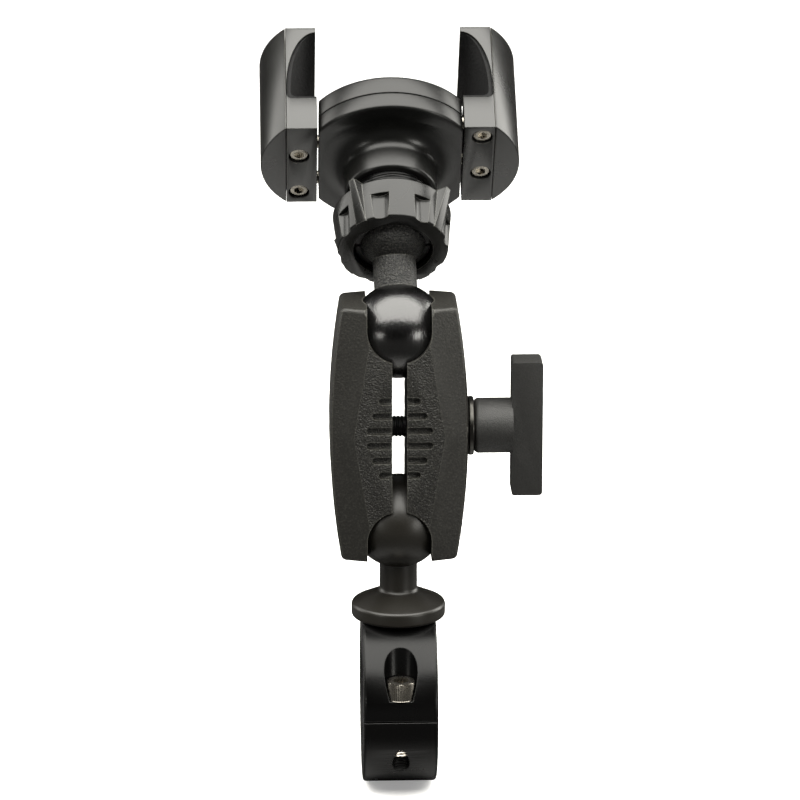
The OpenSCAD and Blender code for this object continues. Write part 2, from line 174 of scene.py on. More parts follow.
def threaded(name, radius, pitch, z0, z1, depth, steps=48, per_pitch=6):
    """A threaded bar along Z: a turned bar whose surface rises and falls along a helix."""
    rows = int((z1 - z0) / pitch * per_pitch)
    walls = [Vector((radius, z0 + (z1 - z0) * k / rows)) for k in range(rows + 1)]
    bm = turned([Vector((0, z0))] + walls + [Vector((0, z1))], steps)
    for v in bm.verts:
        if v.co.xy.length > radius * 0.9:
            turn = atan2(v.co.y, v.co.x) / (2 * pi)
            phase = (v.co.z / pitch - turn) % 1
            v.co.xy *= 1 - depth / radius * abs(2 * phase - 1) ** 0.8
    return bm


def laid(bm, axis, angle=90):
    """Turns a bmesh about an axis through the origin."""
    bmesh.ops.rotate(bm, verts=bm.verts, cent=(0, 0, 0), matrix=Matrix.Rotation(radians(angle), 3, axis))
    return bm


def moved(bm, x=0, y=0, z=0):
    bmesh.ops.translate(bm, vec=(x, y, z), verts=bm.verts)
    return bm


def blank(bm, name):
    """An object from a bmesh, not yet placed."""
    mesh = bpy.data.meshes.new(name)
    bm.to_mesh(mesh)
    bm.free()
    piece = bpy.data.objects.new(name, mesh)
    bpy.context.scene.collection.objects.link(piece)
    return piece


def settle(piece):
    """Applies a piece's modifiers to its mesh."""
    graph = bpy.context.evaluated_depsgraph_get()
    done = bpy.data.meshes.new_from_object(piece.evaluated_get(graph))
    piece.modifiers.clear()
    piece.data = done
    return piece


def machined(bm, name, cuts=(), keep=(), weld=()):
    """Cuts, trims or welds a blank with other bmeshes, one after another."""
    piece = blank(bm, name)
    for operation, tools in (("UNION", weld), ("INTERSECT", keep), ("DIFFERENCE", cuts)):
        for tool in tools:
            cutter = blank(tool, "tool")
            change = piece.modifiers.new("cut", "BOOLEAN")
            change.operation = operation
            change.solver = "EXACT"
            change.object = cutter
            settle(piece)
            bpy.data.objects.remove(cutter)
    return piece


def eased(piece, width, segments=2, angle=32, finish=-1):
    """Breaks a piece's sharp edges with a small radius, which may have a finish of its own."""
    bm = bmesh.new()
    bm.from_mesh(piece.data)
    bmesh.ops.remove_doubles(bm, verts=bm.verts, dist=0.01)
    bmesh.ops.dissolve_limit(bm, angle_limit=radians(0.5), verts=bm.verts, edges=bm.edges)
    bm.to_mesh(piece.data)
    bm.free()
    for _ in range(finish + 1):
        piece.data.materials.append(None)
    change = piece.modifiers.new("edges", "BEVEL")
    change.material = finish
    change.width = width
    change.segments = segments
    change.limit_method = "ANGLE"
    change.angle_limit = radians(angle)
    change.miter_outer = "MITER_ARC"
    return settle(piece)


def mounted(piece, where, finish, body, slot, *nodes, sharp=40):
    """Puts a finished piece in its place on the mount, in place of its CAD nodes."""
    mesh = piece.data
    mesh.transform(where)
    mesh.shade_smooth()
    mesh.set_sharp_from_angle(angle=radians(sharp))
    mesh.materials.clear()
    for each in finish if isinstance(finish, (list, tuple)) else [finish]:
        mesh.materials.append(each)
    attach(piece, body)
    if nodes:
        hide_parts(*nodes)
    return piece


def colour(code):
    """A colour from its sRGB hex code, as linear RGBA."""
    parts = [int(code[i:i + 2], 16) / 255 for i in (0, 2, 4)]
    return [p / 12.92 if p <= 0.04045 else ((p + 0.055) / 1.055) ** 2.4 for p in parts] + [1]


def add(tree, kind, sockets=None, **settings):
    """Adds a node, sets its settings, and fills its sockets with values or links."""
    made = tree.nodes.new(kind)
    for key, value in settings.items():
        setattr(made, key, value)
    for key, value in (sockets or {}).items():
        if isinstance(value, bpy.types.NodeSocket):
            tree.links.new(value, made.inputs[key])
        else:
            made.inputs[key].default_value = value
    return made


def material(name):
    """A new material, its node tree, its shader and its object coordinates."""
    made = bpy.data.materials.new(name)
    made.use_nodes = True
    tree = made.node_tree
    shader = tree.nodes["Principled BSDF"]
    return made, tree, shader, add(tree, "ShaderNodeTexCoord").outputs["Object"]


def per_m(size_mm):
    """A texture's scale, in repeats a metre, for a pattern of that size."""
    return 1000 / size_mm


def black_anodised(name, base, edge_wear_and_highlight_colour, rough, grain_mm=0.35, bump=0.02, shine=0.4):
    """Black anodised aluminium, bead-blasted before dyeing: a soft satin with a fine even grain.

    The grain is drawn a little coarser than the real 0.1 mm so that it shows. Edges go paler, partly as handling wear
    and partly as a painted highlight along them.
    """
    made, tree, shader, spot = material(name)
    grain = add(tree, "ShaderNodeTexNoise", {"Vector": spot, "Scale": per_m(grain_mm), "Detail": 3.0, "Roughness": 0.6})
    cloud = add(tree, "ShaderNodeTexNoise", {"Vector": spot, "Scale": per_m(14), "Detail": 3.0})
    soft = add(tree, "ShaderNodeBevel", {"Radius": 0.00035}, samples=4)
    flat = add(tree, "ShaderNodeNewGeometry")
    turn = add(tree, "ShaderNodeVectorMath", {0: soft.outputs["Normal"], 1: flat.outputs["Normal"]},
               operation="DOT_PRODUCT")
    # Edges painted paler from the bevel normal: partly wear, partly a painted highlight.
    edge_wear_and_highlight = add(tree, "ShaderNodeMapRange", {"Value": turn.outputs["Value"], "From Min": 0.99, "From Max": 0.86})
    patch = add(tree, "ShaderNodeMath", {0: edge_wear_and_highlight.outputs[0], 1: cloud.outputs["Fac"]}, operation="MULTIPLY")
    shade = add(tree, "ShaderNodeMix", {"Factor": patch.outputs[0], "A": colour(base), "B": colour(edge_wear_and_highlight_colour)},
                data_type="RGBA")
    level = add(tree, "ShaderNodeMapRange", {"Value": cloud.outputs["Fac"], "To Min": rough - 0.05,
                                             "To Max": rough + 0.06})
    relief = add(tree, "ShaderNodeBump", {"Height": grain.outputs["Fac"], "Strength": 0.35,
                                          "Distance": bump * 0.001, "Normal": soft.outputs["Normal"]})
    tree.links.new(shade.outputs["Result"], shader.inputs["Base Color"])
    tree.links.new(level.outputs[0], shader.inputs["Roughness"])
    tree.links.new(relief.outputs["Normal"], shader.inputs["Normal"])
    shader.inputs["Specular IOR Level"].default_value = shine
    return made


clamp_black = black_anodised("anodised aluminium satin", "040404", "4c4c4b", 0.26, shine=0.2)


def ring_half(sign):
    """Half of the split ring: an outline across the wall, spun through half a turn about the bar."""
    wall = outline((bore_r, -ring_half_w, 0.3), (ring_r, -ring_half_w, edge_r), (ring_r, ring_half_w, edge_r),
                   (bore_r, ring_half_w, 0.3))
    bm = laid(turned(wall, steps=144), "Y")
    half = block((-20, -40, split if sign > 0 else -40), (20, 40, 40 if sign > 0 else -split))
    cuts = []
    for y in (-screw_y, screw_y):
        cuts.append(drill(2.55, -30, 30, (0, y)) if sign > 0 else
                    moved(threaded("tap", 2.55, 0.8, -30, 0, 0.35), y=y))
        if sign > 0:
            cuts.append(drill(4.5, head_floor, 40, (0, y)))
    if sign > 0:
        cuts.append(drill(13.7, seat_z, 40, steps=96))
    piece = machined(bm, "ring_upper" if sign > 0 else "ring_lower", cuts, [half])
    return eased(piece, 0.18)


mounted(ring_half(1), at_bar, clamp_black, "bar_clamp", "anodised_black", "clamp_upper_half")
mounted(ring_half(-1), at_bar, clamp_black, "clamp_lower", "anodised_black", "clamp_lower_half")


# ---- Sleeves: two half shells that bring the ring's bore down to the handlebar ----
# Moulded rubber, matte.
sleeve_r = 14.2
bar_r = 11.1


def moulded_rubber(name, base, grain_mm, depth):
    """Moulded black rubber: matte, with the eroded texture of its mould and a slightly dusty bloom."""
    made, tree, shader, spot = material(name)
    grain = add(tree, "ShaderNodeTexVoronoi", {"Vector": spot, "Scale": per_m(grain_mm)}, feature="SMOOTH_F1")
    bloom = add(tree, "ShaderNodeTexNoise", {"Vector": spot, "Scale": per_m(6), "Detail": 4.0})
    shade = add(tree, "ShaderNodeMix", {"Factor": bloom.outputs["Fac"], "A": colour(base), "B": colour("19191a")},
                data_type="RGBA")
    relief = add(tree, "ShaderNodeBump", {"Height": grain.outputs["Distance"], "Strength": 0.6,
                                          "Distance": depth * 0.001})
    tree.links.new(shade.outputs["Result"], shader.inputs["Base Color"])
    tree.links.new(relief.outputs["Normal"], shader.inputs["Normal"])
    shader.inputs["Roughness"].default_value = 0.6
    shader.inputs["Specular IOR Level"].default_value = 0.15
    return made


sleeve_rubber = moulded_rubber("moulded rubber matte", "121213", 0.9, 0.1)


def sleeve_half(sign):
    wall = outline((bar_r, -9.9, 0.4), (sleeve_r, -9.9, 0.4), (sleeve_r, 9.9, 0.4), (bar_r, 9.9, 0.4))
    half = block((-20, -40, 0.5 if sign > 0 else -40), (20, 40, 40 if sign > 0 else -0.5))
    piece = machined(laid(turned(wall, steps=96), "Y"), "sleeve_upper" if sign > 0 else "sleeve_lower", (), [half])
    return eased(piece, 0.15)


mounted(sleeve_half(1), at_bar, sleeve_rubber, "bar_clamp", "sleeve_rubber", "bar_sleeve_upper")
mounted(sleeve_half(-1), at_bar, sleeve_rubber, "clamp_lower", "sleeve_rubber", "bar_sleeve_lower")


# ---- Cap screws: the two M5 screws of the clamp and the small M3s of the jaws ----
# Stainless steel, cold-headed, with a knurled side and a broached hexagon socket.


def stainless(name, base, rough, mark="8d8c89"):
    """Stainless steel, turned: bright, with faint rings and a scatter of handling marks."""
    made, tree, shader, spot = material(name)
    marks = add(tree, "ShaderNodeTexNoise", {"Vector": spot, "Scale": per_m(1.2), "Detail": 6.0, "Roughness": 0.7})
    level = add(tree, "ShaderNodeMapRange", {"Value": marks.outputs["Fac"], "To Min": rough - 0.08,
                                             "To Max": rough + 0.12})
    shade = add(tree, "ShaderNodeMix", {"Factor": marks.outputs["Fac"], "A": colour(base), "B": colour(mark)},
                data_type="RGBA")
    relief = add(tree, "ShaderNodeBump", {"Height": marks.outputs["Fac"], "Strength": 0.15, "Distance": 0.00004})
    tree.links.new(shade.outputs["Result"], shader.inputs["Base Color"])
    tree.links.new(level.outputs[0], shader.inputs["Roughness"])
    tree.links.new(relief.outputs["Normal"], shader.inputs["Normal"])
    shader.inputs["Metallic"].default_value = 1
    return made


bright_steel = stainless("stainless steel turned", "a9a49b", 0.25, "6f6b64")


def hexagon(across_flats, z0, z1):
    """A hexagonal bar along Z."""
    bm = bmesh.new()
    bmesh.ops.create_cone(bm, cap_ends=True, segments=6, radius1=across_flats / sqrt(3),
                          radius2=across_flats / sqrt(3), depth=z1 - z0)
    return moved(bm, z=(z0 + z1) / 2)


def cap_screw(name, head_r, head_h, shank_r, length, socket, knurls=40, pitch=0.8):
    """A socket cap screw, its head's underside at Z = 0 and its shank down -Z."""
    head = outline((0, 0, 0), (head_r, 0, 0.15), (head_r, head_h, 0.35), (0, head_h, 0), steps=3)
    bm = turned(head, steps=2 * knurls)
    for v in bm.verts:
        turn = round(atan2(v.co.y, v.co.x) / (pi / knurls))
        if turn % 2 and v.co.xy.length > head_r - 0.05 and 0.1 < v.co.z < head_h:
            v.co.xy *= (head_r - 0.2) / head_r
    shank = threaded("shank", shank_r, pitch, -length, 0.1, pitch * 0.45)
    return machined(bm, name, [hexagon(socket, head_h * 0.45, head_h + 1)], weld=[shank])


for side, y, body in (("front", -screw_y, "screw_front"), ("rear", screw_y, "screw_rear")):
    screw = cap_screw("clamp_cap_screw_" + side, 3.8, 5, 2.5, 16, 4)
    mounted(screw, place((0, y * 0.001, head_floor * 0.001)), bright_steel, body, "stainless", "clamp_screw_" + side,
            sharp=30)


# ---- Ball base: a flange, a cone and a neck with a one-inch ball on top ----
# Turned in one piece from aluminium bar and black anodised, with a slightly warm sheen and fine
# turning rings.
base_z = base_ball.z * 1000


def turned_black(name, base, rough, ring_mm, depth):
    """Black anodised aluminium left as turned: glossy, with fine rings round the piece's own axis."""
    made, tree, shader, spot = material(name)
    rings = add(tree, "ShaderNodeTexWave", {"Vector": spot, "Scale": per_m(ring_mm) / 20, "Distortion": 1.5,
                                            "Detail": 3.0, "Detail Scale": 2.0}, bands_direction="Z")
    cloud = add(tree, "ShaderNodeTexNoise", {"Vector": spot, "Scale": per_m(9), "Detail": 3.0})
    level = add(tree, "ShaderNodeMapRange", {"Value": cloud.outputs["Fac"], "To Min": rough - 0.06,
                                             "To Max": rough + 0.08})
    relief = add(tree, "ShaderNodeBump", {"Height": rings.outputs["Fac"], "Strength": 0.3,
                                          "Distance": depth * 0.001})
    tree.links.new(level.outputs[0], shader.inputs["Roughness"])
    tree.links.new(relief.outputs["Normal"], shader.inputs["Normal"])
    shader.inputs["Base Color"].default_value = colour(base)
    shader.inputs["Metallic"].default_value = 0.1
    return made


turned_finish = turned_black("anodised aluminium as turned", "181612", 0.36, 0.5, 0.012)


def arc(centre_x, centre_z, radius, start, end, steps):
    """Points on an arc, from start to end degrees."""
    angles = [radians(start + (end - start) * k / steps) for k in range(steps + 1)]
    return [(centre_x + radius * cos(a), centre_z + radius * sin(a)) for a in angles]


def ball_base():
    neck_r, ball_r = 5.1, 12.7
    join = degrees(acos(neck_r / ball_r))
    flange = outline((0, seat_z, 0), (12.75, seat_z, 0.9), (12.75, 26.4, 1.2), (neck_r, 30, 1.4),
                     (neck_r, 34, 0), steps=8)
    sphere = arc(0, base_z, ball_r, -join, 90, 40)
    return blank(turned(flange + [Vector(p) for p in sphere], steps=128), "ball_base_turned")


mounted(ball_base(), at_bar, turned_finish, "base", "turned_black", "ball_base")


# ---- Arm: two shells that clamp both balls between them ----
# Die-cast aluminium, painted black. The outsides are smooth; the flat panel between them, front and
# back, keeps the rough cast skin and six short grip grooves on each shell.
arm_half_l = 35
arm_half_d = 12.1
mid_r = 18.5
end_r = 15.5
gap = 2
panel_mid = 12.2
panel_taper = 0.165
ball_z = 26.5
window_r = 8.6
window_shift = 2.6
side_bevel = 3.8


def shell_section(z):
    """The outline of the right shell at height z, and how far its rounded end draws it in."""
    bulge_r = (arm_half_l ** 2 + (mid_r - end_r) ** 2) / (2 * (mid_r - end_r))
    outer = mid_r - bulge_r + sqrt(bulge_r ** 2 - z ** 2)
    panel = panel_mid - panel_taper * abs(z)
    corner = 1.1
    over = max(0, abs(z) - (arm_half_l - corner))
    drawn = corner - sqrt(max(0, corner ** 2 - over ** 2))
    side_d = arm_half_d - side_bevel
    curve = [(panel, arm_half_d), (panel + 2, arm_half_d - 1), (outer - 1.1, side_d + 0.7)]
    curve += [(outer - 1.1 * (1 - sin(t)), side_d + 0.7 - 1.6 * (1 - cos(t))) for t in (0.5, 0.9, 1.3, 1.55)]
    curve.append((outer, 0))
    lengths = [sqrt(x * x + y * y) for x, y in curve]
    curve = [(x * (1 - drawn / r), y * (1 - drawn / r)) for (x, y), r in zip(curve, lengths)]
    front = [(gap, arm_half_d - drawn)] + curve
    return front + [(x, -y) for x, y in reversed(front[:-1])]


def shell(sign, name):
    """One shell: sections lofted along the arm, then the sockets, windows, bores and grooves."""
    bm = bmesh.new()
    corner_steps = 6
    straight = [-arm_half_l + 1.1 + (2 * arm_half_l - 2.2) * k / 32 for k in range(33)]
    ends = [arm_half_l - 1.1 + 1.1 * sin(radians(90 * k / corner_steps)) for k in range(1, corner_steps + 1)]
    heights = [-z for z in reversed(ends)] + straight + ends
    loops = [loop_of(bm, [(x, y, z) for x, y in shell_section(z)]) for z in heights]
    for (_, low), (_, high) in zip(loops, loops[1:]):
        bmesh.ops.bridge_loops(bm, edges=low + high)
    bm.faces.new(loops[0][0])
    bm.faces.new(loops[-1][0])
    tidy(bm)
    cuts = []
    for end in (-1, 1):
        cuts.append(ball(12.75, (0, 0, end * ball_z), 96))
        top = end * (ball_z + window_shift)
        slot = outline((-window_r, top, 0), (window_r, top, 0), (window_r, end * 60, 0), (-window_r, end * 60, 0))
        round_end = arc(0, top, window_r, 180, 360, 32) if end > 0 else arc(0, top, window_r, 0, 180, 32)
        path = [Vector(p) for p in round_end] + [p for p in slot[2:]] if end > 0 else \
            [Vector(p) for p in round_end] + [Vector((-window_r, -60)), Vector((window_r, -60))]
        cuts.append(laid(pushed(path, -30, 30), "X"))
        for face in (-1, 1):
            wedge = bmesh.new()
            for x, y, z in ((8.4, 12.2, 31.2), (12.8, 12.2, 36), (8.4, 9, 36), (5, 15, 31.2), (12.8, 15, 36),
                            (5, 9, 36), (5, 15, 36), (5, 12.2, 31.2)):
                wedge.verts.new((x, face * y, end * z))
            bmesh.ops.convex_hull(wedge, input=wedge.verts)
            cuts.append(tidy(wedge))
    cuts.append(laid(drill(3.2, -40, 40), "Y"))
    for i, length in enumerate((3.6, 5.4, 6.9, 6.9, 5.4, 3.6)):
        z = (i - 2.5) * 4.1
        reach = gap + length - 0.95
        path = [Vector(p) for p in arc(reach, z, 0.95, -90, 90, 10)] + [Vector((0, z + 0.95)), Vector((0, z - 0.95))]
        for y0 in (arm_half_d - 1.2, -arm_half_d - 5):
            cuts.append(laid(pushed(path, y0, y0 + 6.2), "X", 90))
    if sign > 0:
        cuts.append(laid(drill(8.6, 17, 40), "Y"))
    else:
        cuts.append(laid(drill(7.8, 16.5, 40), "Y"))
        cuts.append(laid(hexagon(10.2, 12.5, 40), "Y"))
    piece = machined(bm, name, cuts)
    if sign < 0:
        piece.data.transform(Matrix.Scale(-1, 4, (1, 0, 0)))
        piece.data.flip_normals()
    return eased(piece, 0.45, 3, 24, 2)


def cast_black(name, base, grain_mm, depth, rough, glint_strength):
    """Die-cast aluminium, painted: a pebbled skin whose crests get painted glints (painted highlight), and whose edges
    are painted paler, partly as paint rubbed thin and partly as a painted highlight.
    """
    made, tree, shader, spot = material(name)
    pebble = add(tree, "ShaderNodeTexVoronoi", {"Vector": spot, "Scale": per_m(grain_mm), "Randomness": 1.0},
                 feature="SMOOTH_F1")
    fine = add(tree, "ShaderNodeTexNoise", {"Vector": spot, "Scale": per_m(grain_mm), "Detail": 2.0,
                                            "Roughness": 0.6})
    both = add(tree, "ShaderNodeMath", {0: pebble.outputs["Distance"], 1: fine.outputs["Fac"]}, operation="ADD")
    relief = add(tree, "ShaderNodeBump", {"Height": both.outputs[0], "Strength": 1.0, "Distance": depth * 0.001})
    # Painted highlight: the crests of the fine grain are painted paler, as glints.
    painted_glint = add(tree, "ShaderNodeMapRange", {"Value": fine.outputs["Fac"], "From Min": 0.5, "From Max": 0.72,
                                             "To Max": glint_strength})
    soft = add(tree, "ShaderNodeBevel", {"Radius": 0.0004}, samples=4).outputs["Normal"]
    turn = add(tree, "ShaderNodeVectorMath", {0: soft, 1: add(tree, "ShaderNodeNewGeometry").outputs["Normal"]},
               operation="DOT_PRODUCT").outputs["Value"]
    # Edges painted paler from the bevel normal: partly paint rubbed thin, partly a painted highlight.
    edge_wear_and_highlight = add(tree, "ShaderNodeMapRange", {"Value": turn, "From Min": 0.992, "From Max": 0.95, "To Max": 0.7})
    pale = add(tree, "ShaderNodeMath", {0: painted_glint.outputs[0], 1: edge_wear_and_highlight.outputs[0]}, operation="MAXIMUM")
    shade = add(tree, "ShaderNodeMix", {"Factor": pale.outputs[0], "A": colour(base), "B": colour("53524c")},
                data_type="RGBA")
    tree.links.new(shade.outputs["Result"], shader.inputs["Base Color"])
    tree.links.new(relief.outputs["Normal"], shader.inputs["Normal"])
    shader.inputs["Roughness"].default_value = rough
    shader.inputs["Metallic"].default_value = 0.2
    return made


shell_skin = cast_black("die-cast aluminium painted", "13120f", 0.42, 0.25, 0.5, 0.4)
shell_smooth = cast_black("die-cast aluminium linished and painted", "1a1916", 0.5, 0.08, 0.5, 0.2)
# The shells' bevelled edges get a paler finish of their own: partly paint rubbed thin, partly a painted highlight.
shell_edge_worn_and_lit = cast_black("die-cast aluminium with paint rubbed thin", "3b3a35", 0.3, 0.15, 0.42, 0.6)


def panel_faces(piece):
    """Gives the flat front and back panels and the grooves the rough cast skin."""
    for face in piece.data.polygons:
        flat = abs(face.normal.y) > 0.99 and abs(face.center.y) > arm_half_d - 1.4
        if face.material_index < 2:
            face.material_index = 1 if flat else 0
    return piece


left_shell = panel_faces(shell(-1, "shell_left"))
right_shell = panel_faces(shell(1, "shell_right"))


def mounted_keeping(piece, where, finishes, body, slot, *nodes, sharp=40):
    """Mounts a piece that has faces in several finishes."""
    held = [face.material_index for face in piece.data.polygons]
    mounted(piece, where, finishes, body, slot, *nodes, sharp=sharp)
    piece.data.polygons.foreach_set("material_index", held)
    return piece


mounted_keeping(left_shell, at_arm, [shell_smooth, shell_skin, shell_edge_worn_and_lit], "arm", "cast_black", "arm_shell_left")
mounted_keeping(right_shell, at_arm, [shell_smooth, shell_skin, shell_edge_worn_and_lit], "arm_right", "cast_black", "arm_shell_right")


# ---- Through bolt: an M6 hexagon bolt from the left shell to the knob ----
# Rolled thread on black-oxide steel; the thread shows in the gap between the shells.
black_steel = black_anodised("steel black oxide", "0e0e0f", "5a5a5a", 0.35, 0.3, 0.01)


bolt = machined(laid(threaded("bolt", 3, 1.0, -12.5, 30, 0.42), "Y"), "through_bolt",
                weld=[laid(hexagon(10, -16.4, -12.4), "Y")])
mounted(bolt, at_arm, black_steel, "arm", "black_steel", "arm_bolt", sharp=50)

# ---- Washers under the knob ----
# Two stamped steel washers, dark zinc-plated, their edges slightly rolled.
dull_steel = stainless("steel dark zinc plated", "4a4946", 0.3, "2e2d2b")
for name, x, body in (("washer_inner", 17.0, "arm_right"), ("washer_outer", 18.6, "knob")):
    rim = outline((3.2, x + 0.01, 0), (7.95, x + 0.01, 0.5), (7.95, x + 1.59, 0.5), (3.2, x + 1.59, 0))
    washer = blank(laid(turned(rim), "Y"), name + "_turned")
    mounted(washer, at_arm, dull_steel, body, "stainless", name)


# ---- T-knob: a hub and a cross bar ----
# Injection-moulded glass-filled nylon with an eroded texture, over a brass insert.
def moulded_nylon(name, base, grain_mm, depth):
    """Glass-filled nylon from an eroded mould: matte black with a fine sparkle of fibre."""
    made, tree, shader, spot = material(name)
    grain = add(tree, "ShaderNodeTexNoise", {"Vector": spot, "Scale": per_m(grain_mm), "Detail": 4.0,
                                             "Roughness": 0.7})
    shade = add(tree, "ShaderNodeMix", {"Factor": grain.outputs["Fac"], "A": colour(base), "B": colour("2a2a29")},
                data_type="RGBA")
    relief = add(tree, "ShaderNodeBump", {"Height": grain.outputs["Fac"], "Strength": 0.5,
                                          "Distance": depth * 0.001})
    tree.links.new(shade.outputs["Result"], shader.inputs["Base Color"])
    tree.links.new(relief.outputs["Normal"], shader.inputs["Normal"])
    shader.inputs["Roughness"].default_value = 0.5
    shader.inputs["Specular IOR Level"].default_value = 0.4
    return made


nylon = moulded_nylon("nylon moulded glass filled", "100f0e", 0.4, 0.25)


def t_knob():
    """Hub and bar, welded and blended into one moulding."""
    hub = outline((0, 20.25, 0), (7.45, 20.25, 1.2), (7.45, 30.6, 0), (0, 30.6, 0))
    bar = outline((30.3, -18.5, 0.7), (38.6, -18.5, 1), (38.6, 18.5, 1), (30.3, 18.5, 0.7), steps=6)
    piece = machined(laid(turned(hub), "Y"), "t_knob", weld=[laid(pushed(bar, -4.5, 4.5), "X")],
                     cuts=[laid(drill(4.4, 10, 29.2), "Y")])
    return eased(piece, 0.6, 3, 45)


mounted(t_knob(), at_arm, nylon, "knob", "nylon_black", "knob", sharp=50)


# ---- Ball stem: a large and a small ball on one rod ----
# Die-cast, blasted and painted, then the large ball is machined: glossy, with fine marks of the tool. The rod and the
# small ball keep the cast skin.
def machined_black(name, base, rough, line_mm, depth):
    """Machined and dyed aluminium: glossy, with fine straight tool marks along the stem."""
    made, tree, shader, spot = material(name)
    lines = add(tree, "ShaderNodeTexNoise", {"Vector": add(tree, "ShaderNodeMapping", {
        "Vector": spot, "Scale": (1, 1, 0.05)}).outputs["Vector"], "Scale": per_m(line_mm), "Detail": 3.0})
    relief = add(tree, "ShaderNodeBump", {"Height": lines.outputs["Fac"], "Strength": 0.6,
                                          "Distance": depth * 0.001})
    level = add(tree, "ShaderNodeMapRange", {"Value": lines.outputs["Fac"], "To Min": rough - 0.06,
                                             "To Max": rough + 0.1})
    tree.links.new(relief.outputs["Normal"], shader.inputs["Normal"])
    tree.links.new(level.outputs[0], shader.inputs["Roughness"])
    shader.inputs["Base Color"].default_value = colour(base)
    shader.inputs["Specular IOR Level"].default_value = 0.8
    return made


ball_gloss = machined_black("aluminium machined and dyed black", "050505", 0.2, 0.45, 0.1)
stem_skin = cast_black("aluminium cast and sand-blasted", "070706", 0.45, 0.25, 0.42, 0.45)


def ball_stem():
    stem_r, stem_l = 5.8, 27.8
    foot = degrees(acos(stem_r / 12.7))
    head = degrees(acos(stem_r / 10))
    low = arc(0, 0, 12.7, -90, foot, 48)
    high = arc(0, stem_l, 10, -head, 90, 40)
    rod = [(stem_r, low[-1][1] + (high[0][1] - low[-1][1]) * k / 8) for k in range(1, 8)]
    bm = turned([Vector(p) for p in low + rod + high], steps=128)
    for face in bm.faces:
        middle = face.calc_center_median()
        face.material_index = 1 if middle.z > low[-1][1] else 0
    return blank(bm, "ball_stem_cast")


mounted_keeping(ball_stem(), at_stem, [ball_gloss, stem_skin], "stem", "cast_black", "ball_stem", sharp=35)


# ---- Socket ring: the slotted ring that closes on the small ball ----
# Moulded nylon, split by four slots so that the nut can squeeze it.
def socket_ring():
    shell_points = outline((5, -5, 0), (10.15, -5, 0.4), (11.5, -0.7, 0), (11.5, 2.6, 0.2), (5, 2.6, 0))
    slots = [block((-20, -0.5, -7), (20, 0.5, 0.7)), laid(block((-20, -0.5, -7), (20, 0.5, 0.7)), "Z")]
    piece = machined(turned(shell_points), "socket_ring", [ball(10.05, steps=96)] + slots)
    return eased(piece, 0.12, 2, 40)


mounted(socket_ring(), at_holder, nylon, "socket", "nylon_black", "socket_collet")


# ---- Locking nut: a ring nut with four ears ----
# Die-cast and black anodised. It widens towards the holder; an ear stands up between two finger
# pockets, which are open towards the ball.
nut_black = black_anodised("anodised aluminium cast nut", "0b0b0a", "74746e", 0.27, 0.3, 0.03, 0.38)


def locking_nut():
    """A star of four ears, trimmed to a cone, on a cone of its own, then bored and pocketed."""
    face, height, turn = -6.8, 12.2, 8.5
    face_r, end_r, ear_r = 14.8, 16, 18.7
    end = face + height
    star = []
    for ear in range(4):
        middle = radians(90 * ear + 45 + turn)
        for r, w in ((12, -2.2), (ear_r + 0.2, -0.8), (ear_r + 0.2, 0.8), (12, 2.2)):
            star.append((r * cos(middle) - w * sin(middle), r * sin(middle) + w * cos(middle)))
    cone = turned([Vector(p) for p in ((0, face), (face_r, face), (ear_r, end), (0, end))], steps=144)
    ears = machined(pushed(star, face, end), "ears", keep=[cone])
    bm = bmesh.new()
    bm.from_mesh(ears.data)
    bpy.data.objects.remove(ears)
    body = outline((0, face, 0), (face_r, face, 0.6), (end_r, end, 0.6), (0, end, 0))
    bore = outline((0, face - 1, 0), (10.8, face - 1, 0), (10.6, face + 1, 0.4), (11.7, -0.7, 0),
                   (11.7, 3.3, 0), (10.6, 3.3, 0), (10.6, end + 1, 0), (0, end + 1, 0))
    cuts = [turned(bore, steps=96)]
    for lobe in range(4):
        for side in (-22, 22):
            pocket = drill(3.1, face - 3, end - 4.6, (end_r + 1.1, 0), 64)
            cuts.append(laid(pocket, "Z", 90 * lobe + turn + side))
    return eased(machined(bm, "locking_nut_cast", cuts, weld=[turned(body, steps=144)]), 0.4, 3, 32)


mounted(locking_nut(), at_holder, nut_black, "nut", "anodised_black", "locking_nut")


# ---- Holder housing and cover: the round body behind the phone ----
# Turned and milled from aluminium, black anodised. The rear housing has the boss, whose neck is
# threaded for the nut; the front cover meets it at a fine seam on the rim.
back_z = 23
seam_z = 28
front_z = 34
puck_r = 24.2
flat_x = 19.3
puck_black = black_anodised("anodised aluminium bead blasted", "0a0a09", "4a4a48", 0.3, shine=0.38)


def flats():
    return block((-flat_x, -40, -20), (flat_x, 40, 60))


def housing():
    boss_r, fillet_w, fillet_h = 12.5, 6.8, 4.6
    turns = [radians(t) for t in range(0, 91, 6)]
    fillet = [(boss_r + fillet_w * (1 - cos(t)), back_z - fillet_h * (1 - sin(t))) for t in turns]
    body = [Vector((0, 12))] + outline((10.4, 12, 0.2), (boss_r, 12, 1.2), (boss_r, 17, 0), steps=5)[:-1]
    rim = outline((fillet[-1][0], back_z, 0), (puck_r, back_z, 0.9), (puck_r, seam_z - 0.1, 0.25), (0, seam_z - 0.1, 0))
    points = body + [Vector(p) for p in fillet] + rim[1:]
    return eased(machined(turned(points, steps=144), "housing_rear", keep=[flats()]), 0.3, 2, 40)


def cover():
    rim = outline((0, seam_z + 0.1, 0), (puck_r, seam_z + 0.1, 0.25), (puck_r, front_z, 1.0), (0, front_z, 0))
    return eased(machined(turned(rim, steps=144), "cover_front", keep=[flats()]), 0.3, 2, 40)


def neck():
    """The threaded neck on the boss, and the cup that the small ball seats in."""
    bm = threaded("neck", 10.5, 1.5, 3.3, 12.2, 0.5, 96, 8)
    return machined(bm, "housing_neck", [ball(10.05, steps=96)])


